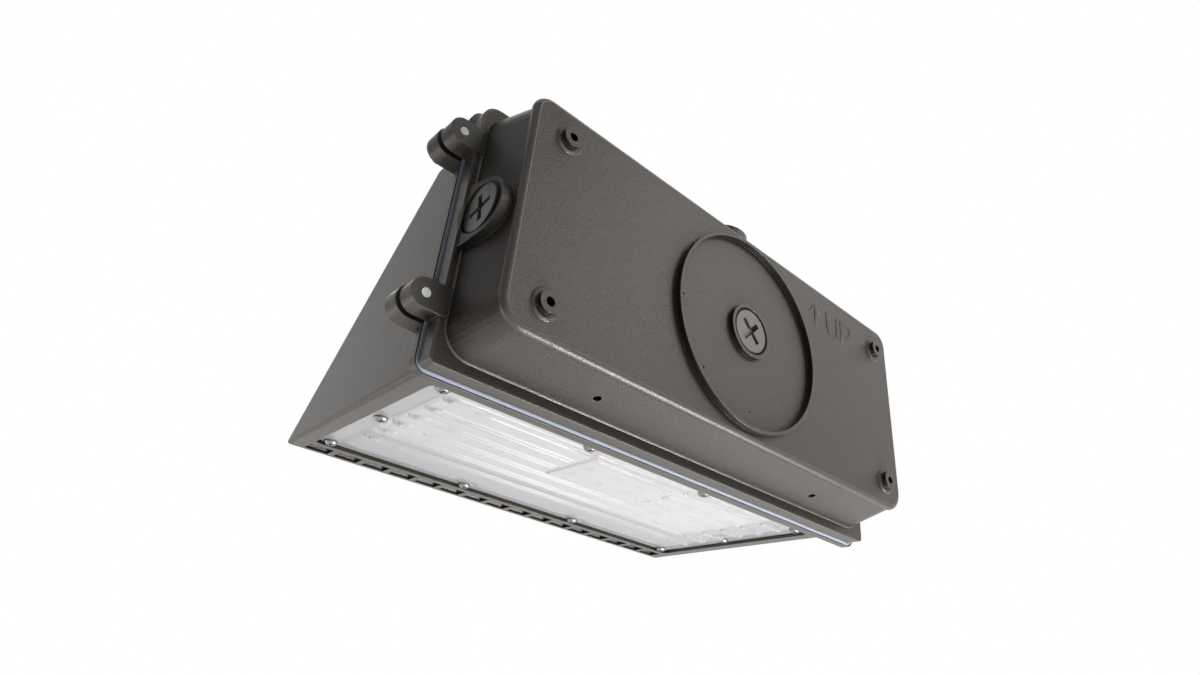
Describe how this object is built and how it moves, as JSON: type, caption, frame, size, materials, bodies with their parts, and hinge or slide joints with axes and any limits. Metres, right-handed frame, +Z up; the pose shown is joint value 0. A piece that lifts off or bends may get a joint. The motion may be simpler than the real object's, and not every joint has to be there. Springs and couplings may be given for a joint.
{
  "type": "wall pack light",
  "caption": "Die-cast wall light: shallow box with conduit hubs and a side-hinged sloping hood that holds a ribbed lens, LED board and driver.",
  "frame": {"origin": "on the wall plane, on the axis of the rear conduit hub, at the centre of the four fixing holes", "axes": "+Y points into the wall, +Z is up, +X is towards the side with the door screws"},
  "size_m": [0.3112, 0.1904, 0.1284],
  "materials": {
    "bronze_coat": "textured powder coat",
    "plug_coat": "satin coat",
    "steel": "plated",
    "green_screw": "green plated",
    "silicone": "matt silicone",
    "black_rubber": "matt rubber",
    "lens_plastic": "frosted polycarbonate",
    "aluminium": "mill finish",
    "board": "white solder mask",
    "phosphor": "phosphor",
    "lead_rubber": "satin insulation",
    "driver_case": "pressed sheet",
    "terminal_plastic": "moulded nylon"
  },
  "bodies": {
    "housing": {"rear_housing": "bronze_coat", "door_gasket": "silicone", "hinge_pins": "steel", "terminal_block": "terminal_plastic", "terminal_screws": "steel", "ground_screw": "green_screw"},
    "hood": {"front_housing": "bronze_coat", "lens": "lens_plastic", "lens_gasket": "silicone", "lens_screws": "steel", "led_tray": "aluminium", "tray_screws": "steel", "led_board": "board", "leds": "phosphor", "led_leads": "lead_rubber", "driver_bracket": "aluminium", "bracket_screws": "steel", "driver": "driver_case", "driver_screws": "steel"},
    "upper_door_screw": {"door_screw_upper": "steel"},
    "lower_door_screw": {"door_screw_lower": "steel"},
    "rear_plug": {"plug_rear": "plug_coat", "seal_rear": "black_rubber"},
    "side_plug": {"plug_side": "plug_coat", "seal_side": "black_rubber"},
    "top_plug": {"plug_top": "plug_coat", "seal_top": "black_rubber"}
  },
  "joints": [
    {"name": "hood_hinge", "type": "hinge", "parent": "housing", "child": "hood", "pos_m": [-0.1495, -0.04025, 0], "axis": [0, 0, -1], "range_deg": [0, 100]},
    {"name": "upper_door_screw_slide", "type": "slide", "parent": "hood", "child": "upper_door_screw", "axis": [0, -1, 0], "range_m": [0, 0.0095]},
    {"name": "lower_door_screw_slide", "type": "slide", "parent": "hood", "child": "lower_door_screw", "axis": [0, -1, 0], "range_m": [0, 0.0095]},
    {"name": "rear_plug_slide", "type": "slide", "parent": "housing", "child": "rear_plug", "axis": [0, 1, 0], "range_m": [0, 0.012]},
    {"name": "side_plug_slide", "type": "slide", "parent": "housing", "child": "side_plug", "axis": [1, 0, 0], "range_m": [0, 0.012]},
    {"name": "top_plug_slide", "type": "slide", "parent": "housing", "child": "top_plug", "axis": [0, 0, 1], "range_m": [0, 0.012]}
  ]
}
